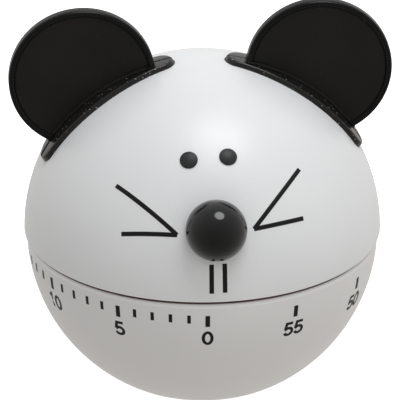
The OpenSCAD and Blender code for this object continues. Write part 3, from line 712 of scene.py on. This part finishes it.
def stroke(path, width):
    """Polygons of one pen stroke along a path: quads with mitred joints."""
    path = [Vector(p) for p in path]
    left, right = [], []
    for i, p in enumerate(path):
        before = (p - path[i - 1]).normalized() if i else (path[1] - p).normalized()
        after = (path[i + 1] - p).normalized() if i + 1 < len(path) else before
        mid = (before + after).normalized()
        across = Vector((-mid.y, mid.x)) * width / 2 / max(0.5, mid.dot(before))
        left.append(p + across)
        right.append(p - across)
    return [[right[i], right[i + 1], left[i + 1], left[i]] for i in range(len(path) - 1)]


def print_on_ball(bm, polygons, centre, r):
    """Lays flat polygons on a ball as one thin layer of ink; centre is a unit direction."""
    points, loops = [], []
    for polygon in polygons:
        loops.append(list(range(len(points), len(points) + len(polygon))))
        points += [Vector(p) for p in polygon]
    verts, _, faces, _, _, origin = delaunay_2d_cdt(points, [], loops, 1, 1e-5)
    faces = [f for f, o in zip(faces, origin) if o]
    right = Vector((0, 0, 1)).cross(centre).normalized()
    up = centre.cross(right)
    layers = []
    for lift in (INK_PROUD, INK_SUNK):
        layer = []
        for p in verts:
            out = (centre * r + right * p.x + up * p.y).normalized()
            layer.append(bm.verts.new(CENTRE + out * (r + lift)))
        layers.append(layer)
    edges = {}
    for f in faces:
        bm.faces.new([layers[0][i] for i in f])
        bm.faces.new([layers[1][i] for i in reversed(f)])
        for a, b in zip(f, f[1:] + f[:1]):
            edges[(a, b)] = edges.get((a, b), 0) + 1
    for a, b in edges:
        if (b, a) not in edges:
            bm.faces.new([layers[0][b], layers[0][a], layers[1][a], layers[1][b]])
    bmesh.ops.delete(bm, geom=[v for v in bm.verts if not v.link_faces], context="VERTS")


# Digits are pen strokes in a box 1 tall, with the baseline at 0 and the middle at x = 0
def oval(cx, cy, rx, ry, start, end, steps):
    turns = [math.radians(start + (end - start) * i / steps) for i in range(steps + 1)]
    return [(cx + rx * math.cos(a), cy + ry * math.sin(a)) for a in turns]


PEN = 0.182
LOW, HIGH = PEN / 2, 1 - PEN / 2
DIGIT_PITCH = 0.67
DIGITS = {
    "0": [oval(0, 0.5, 0.245, 0.5 - PEN / 2, 0, 360, 40)],
    "1": [[(-0.20, 0.73), (-0.08, 0.78), (0.015, 0.86), (0.05, 0.985)], [(0.05, 0.0), (0.05, 1.0)]],
    "2": [oval(0, 0.69, 0.235, HIGH - 0.69, 172, -30, 20) + [(0.02, 0.34), (-0.20, 0.10)],
          [(-0.30, LOW), (0.30, LOW)], [(-0.215, 0.02), (-0.19, 0.14), (-0.1, 0.24)]],
    "3": [oval(0, 0.735, 0.21, HIGH - 0.735, 165, -80, 22), oval(0, 0.29, 0.245, 0.29 - LOW, 82, -168, 24),
          [(-0.08, 0.53), (0.06, 0.53)]],
    "4": [[(0.12, 0.0), (0.12, 1.0)], [(-0.30, 0.28), (0.30, 0.28)], [(-0.265, 0.25), (0.10, 0.93)]],
    "5": [[(0.24, HIGH), (-0.155, HIGH), (-0.225, 0.475)],
          [(-0.235, 0.47)] + oval(-0.005, 0.335, 0.245, 0.335 - LOW, 142, -160, 26)],
}


def number(text, height):
    """Polygons of a number, centred on x = 0 with its top at y = 0."""
    polygons = []
    for i, digit in enumerate(text):
        shift = (i - (len(text) - 1) / 2) * DIGIT_PITCH
        for path in DIGITS[digit]:
            for quad in stroke(path, PEN):
                polygons.append([((p.x + shift) * height, (p.y - 1) * height) for p in quad])
    return polygons


# The azimuth of the zero mark, in degrees; each tick is (length, width)
ZERO_AT = -93.2
DIAL_TOP_Z, DIAL_SKEW = 26.82, 0.5
LAST_SHORT_TICK = 15
LONG_TICK, SHORT_TICK = (2.5, 0.9), (1.8, 0.68)
NUMBER_DROP, NUMBER_H = 1.05, 3.4


def dial():
    """Marks round a slightly skewed ring: numbers every five minutes, short ticks near the zero only."""
    bm = bmesh.new()
    for minute in range(60):
        labelled = minute % 5 == 0
        if not labelled and minute > LAST_SHORT_TICK:
            continue
        length, width = LONG_TICK if labelled else SHORT_TICK
        azimuth = ZERO_AT - 6 * minute
        top_z = DIAL_TOP_Z - DIAL_SKEW * math.cos(math.radians(azimuth))
        centre = direction(azimuth, top_z, BASE_R)
        print_on_ball(bm, [strip((0, 0), (0, -length), width)], centre, BASE_R)
        if labelled:
            drop = (length + NUMBER_DROP) / BASE_R
            lower = math.asin(centre.z) - drop
            below = direction(azimuth, SEAT + BASE_R * math.sin(lower), BASE_R)
            print_on_ball(bm, number(str(minute), NUMBER_H), below, BASE_R)
    return solid("dial_print", bm)


FRONT = -90
LINE_W = 0.88


def on_face_plane(centre, azimuth, z):
    """Where a point of the head falls on the plane that touches it at centre."""
    out = direction(azimuth, z, HEAD_R)
    right = Vector((0, 0, 1)).cross(centre).normalized()
    up = centre.cross(right)
    out = out / out.dot(centre) * HEAD_R
    return (out.dot(right), out.dot(up))


# The middle of each side's whiskers, as (angle from the front, height)
WHISKER_TURN, WHISKER_Z = 28, 46

# Each side's point, the ends of its two lines as (angle from the front, height), and their bows
WHISKERS = {
    -1: ((-13.4, 42.9), (-39.5, 49.5), (-32.9, 41.7), 0.4, 0.15),
    1: ((12.8, 43.5), (37.2, 51.4), (31.8, 43.5), 0.2, 0.0),
}
# Each tooth line's angle from the front, and the heights of its ends
TEETH = ((-2.0, 37.6, 31.85), (2.2, 37.7, 31.95))


def whiskers():
    """Two lines on each side that start at one point."""
    bm = bmesh.new()
    for side, (point, upper, lower, high_bow, low_bow) in WHISKERS.items():
        centre = direction(FRONT + side * WHISKER_TURN, WHISKER_Z, HEAD_R)
        ends = [on_face_plane(centre, FRONT + turn, z) for turn, z in (point, upper, lower)]
        polygons = [
            strip(ends[0], ends[1], LINE_W, side * high_bow),
            strip(ends[0], ends[2], LINE_W, side * low_bow),
        ]
        print_on_ball(bm, polygons, centre, HEAD_R)
    return solid("whisker_print", bm)


def teeth():
    """Two short upright lines under the nose."""
    bm = bmesh.new()
    for turn, top_z, low_z in TEETH:
        centre = direction(FRONT + turn, (top_z + low_z) / 2, HEAD_R)
        ends = [on_face_plane(centre, FRONT + turn, z) for z in (top_z, low_z)]
        print_on_ball(bm, [strip(ends[0], ends[1], LINE_W)], centre, HEAD_R)
    return solid("teeth_print", bm)


# ---------------------------------------------------------------- assembly

finish_piece(head_shell(), head_white, "head", ["head_shell"])
finish_piece(head_boss(), head_white, "head", ["head_shell"])
finish_piece(base_shell(), base_white, "base", ["base_shell"])
for side, name in ((-1, "left"), (1, "right")):
    middle = ear_frame(side) @ Vector((0, 0, EAR_REACH))
    finish_piece(
        ear(side), ear_black, "head", ["ear_" + name], second=rim_black,
        is_second=lambda p, middle=middle: (p - middle).length > EAR_R - EAR_RIM_W,
    )
    finish_piece(ear_socket(side), socket_black, "head", ["ear_socket_" + name])
    finish_piece(eye(side), eye_dark, "head", ["eye_" + name])
finish_piece(nose(), nose_black, "head", ["nose"])
finish_piece(dial(), ink_black, "base")
finish_piece(whiskers(), ink_black, "head")
finish_piece(teeth(), ink_black, "head")

slots = {row["node"]: row["material_slot"] for row in frame["record"]["subparts"]}
for node, obj in frame["nodes"].items():
    look = cad_looks.get(slots[node])
    if look:
        obj.data.materials.clear()
        obj.data.materials.append(look)

# ---------------------------------------------------------------- floor, light and camera


FLOOR_R, FLOOR_GLOW = 4000, 0.75
SURROUND_LEVEL = 0.565
SURROUND_FALL = (0.04, 0.28, 0.09)
SURROUND_LOW, SURROUND_HIGH = (1.0, 0.975, 0.95, 1), (0.965, 0.985, 1.0, 1)
CAMERA_TURN, CAMERA_RISE, CAMERA_REACH = -5.0, 24.9, 1.046
LENS, SENSOR = 478.5, 36.0
AIM_RIGHT, AIM_UP = -0.43, 5.00

# Name, way from the ball's centre, distance and diameter in metres, watts, colour, and
# whether glossy surfaces show it
LIGHTS = (
    ("softbox_top", (0.16, -0.163, 0.973), 1.0, 0.54, 4.3, (0.97, 0.985, 1.0), True),
    ("softbox_right", (0.9, -0.7, 0.75), 1.3, 0.6, 0.6, (1.0, 0.99, 0.97), False),
    ("softbox_front", (0.0, -0.8, 0.6), 1.2, 0.8, 1.55, (1.0, 1.0, 1.0), False),
    ("bounce_low", (0.15, -0.85, -0.5), 1.0, 0.9, 1.75, (1.0, 0.99, 0.975), False),
)


def floor():
    """A pale paper floor that glows evenly; it neither lights nor shades the timer."""
    bm = bmesh.new()
    bmesh.ops.create_circle(bm, cap_ends=True, segments=96, radius=FLOOR_R)
    obj = solid("floor", bm)
    n = Nodes("floor_paper")
    cloud = n.spread(n.noise(6, 3), 0.3, 0.7, 0, 1)
    n.set(
        Base_Color=n.mix(cloud, (0.90, 0.895, 0.885), (0.885, 0.88, 0.87)),
        Roughness=0.9,
        Emission_Color=(1, 1, 1, 1),
        Emission_Strength=FLOOR_GLOW,
    )
    obj.data.materials.append(n.material)
    obj.visible_diffuse = obj.visible_glossy = obj.visible_shadow = False


def area_light(name, toward, distance, size, power, colour, in_gloss):
    """A round soft light that faces the ball's centre."""
    data = bpy.data.lights.new(name, "AREA")
    data.shape, data.size, data.energy, data.color = "DISK", size, power, colour
    obj = bpy.data.objects.new(name, data)
    bpy.context.scene.collection.objects.link(obj)
    out = Vector(toward).normalized()
    obj.location = CENTRE * MM + out * distance
    obj.rotation_mode = "QUATERNION"
    obj.rotation_quaternion = out.to_track_quat("Z", "Y")
    obj.visible_glossy = in_gloss


def world():
    """Soft surround: brightest behind, a little brighter above and to the right; cool above, warm below."""
    made = bpy.data.worlds.new("studio")
    bpy.context.scene.world = made
    made.use_nodes = True
    tree = made.node_tree
    background = tree.nodes["Background"]
    way = tree.nodes.new("ShaderNodeTexCoord").outputs["Generated"]
    fall = tree.nodes.new("ShaderNodeVectorMath")
    fall.operation = "DOT_PRODUCT"
    fall.inputs[1].default_value = SURROUND_FALL
    tree.links.new(way, fall.inputs[0])
    level = tree.nodes.new("ShaderNodeMath")
    level.operation = "ADD"
    level.inputs[1].default_value = SURROUND_LEVEL
    tree.links.new(fall.outputs["Value"], level.inputs[0])
    tree.links.new(level.outputs[0], background.inputs["Strength"])
    split = tree.nodes.new("ShaderNodeSeparateXYZ")
    tree.links.new(way, split.inputs[0])
    tint = tree.nodes.new("ShaderNodeMix")
    tint.data_type = "RGBA"
    tint.inputs[6].default_value = SURROUND_LOW
    tint.inputs[7].default_value = SURROUND_HIGH
    tree.links.new(split.outputs["Z"], tint.inputs[0])
    tree.links.new(tint.outputs[2], background.inputs["Color"])


def camera():
    """A long lens that looks down at the face from slightly on its -X side."""
    data = bpy.data.cameras.new("camera")
    data.lens, data.sensor_width = LENS, SENSOR
    data.clip_start, data.clip_end = 0.05, 20
    obj = bpy.data.objects.new("camera", data)
    bpy.context.scene.collection.objects.link(obj)
    a, e = math.radians(CAMERA_TURN), math.radians(CAMERA_RISE)
    back = Vector((math.sin(a) * math.cos(e), -math.cos(a) * math.cos(e), math.sin(e)))
    right = Vector((math.cos(a), math.sin(a), 0))
    up = back.cross(right)
    target = (CENTRE + right * AIM_RIGHT + up * AIM_UP) * MM
    obj.location = CENTRE * MM + back * CAMERA_REACH
    obj.rotation_mode = "QUATERNION"
    obj.rotation_quaternion = (target - obj.location).to_track_quat("-Z", "Y")
    bpy.context.scene.camera = obj


floor()
world()
for light in LIGHTS:
    area_light(*light)
camera()
bpy.context.scene.view_settings.view_transform = "Standard"
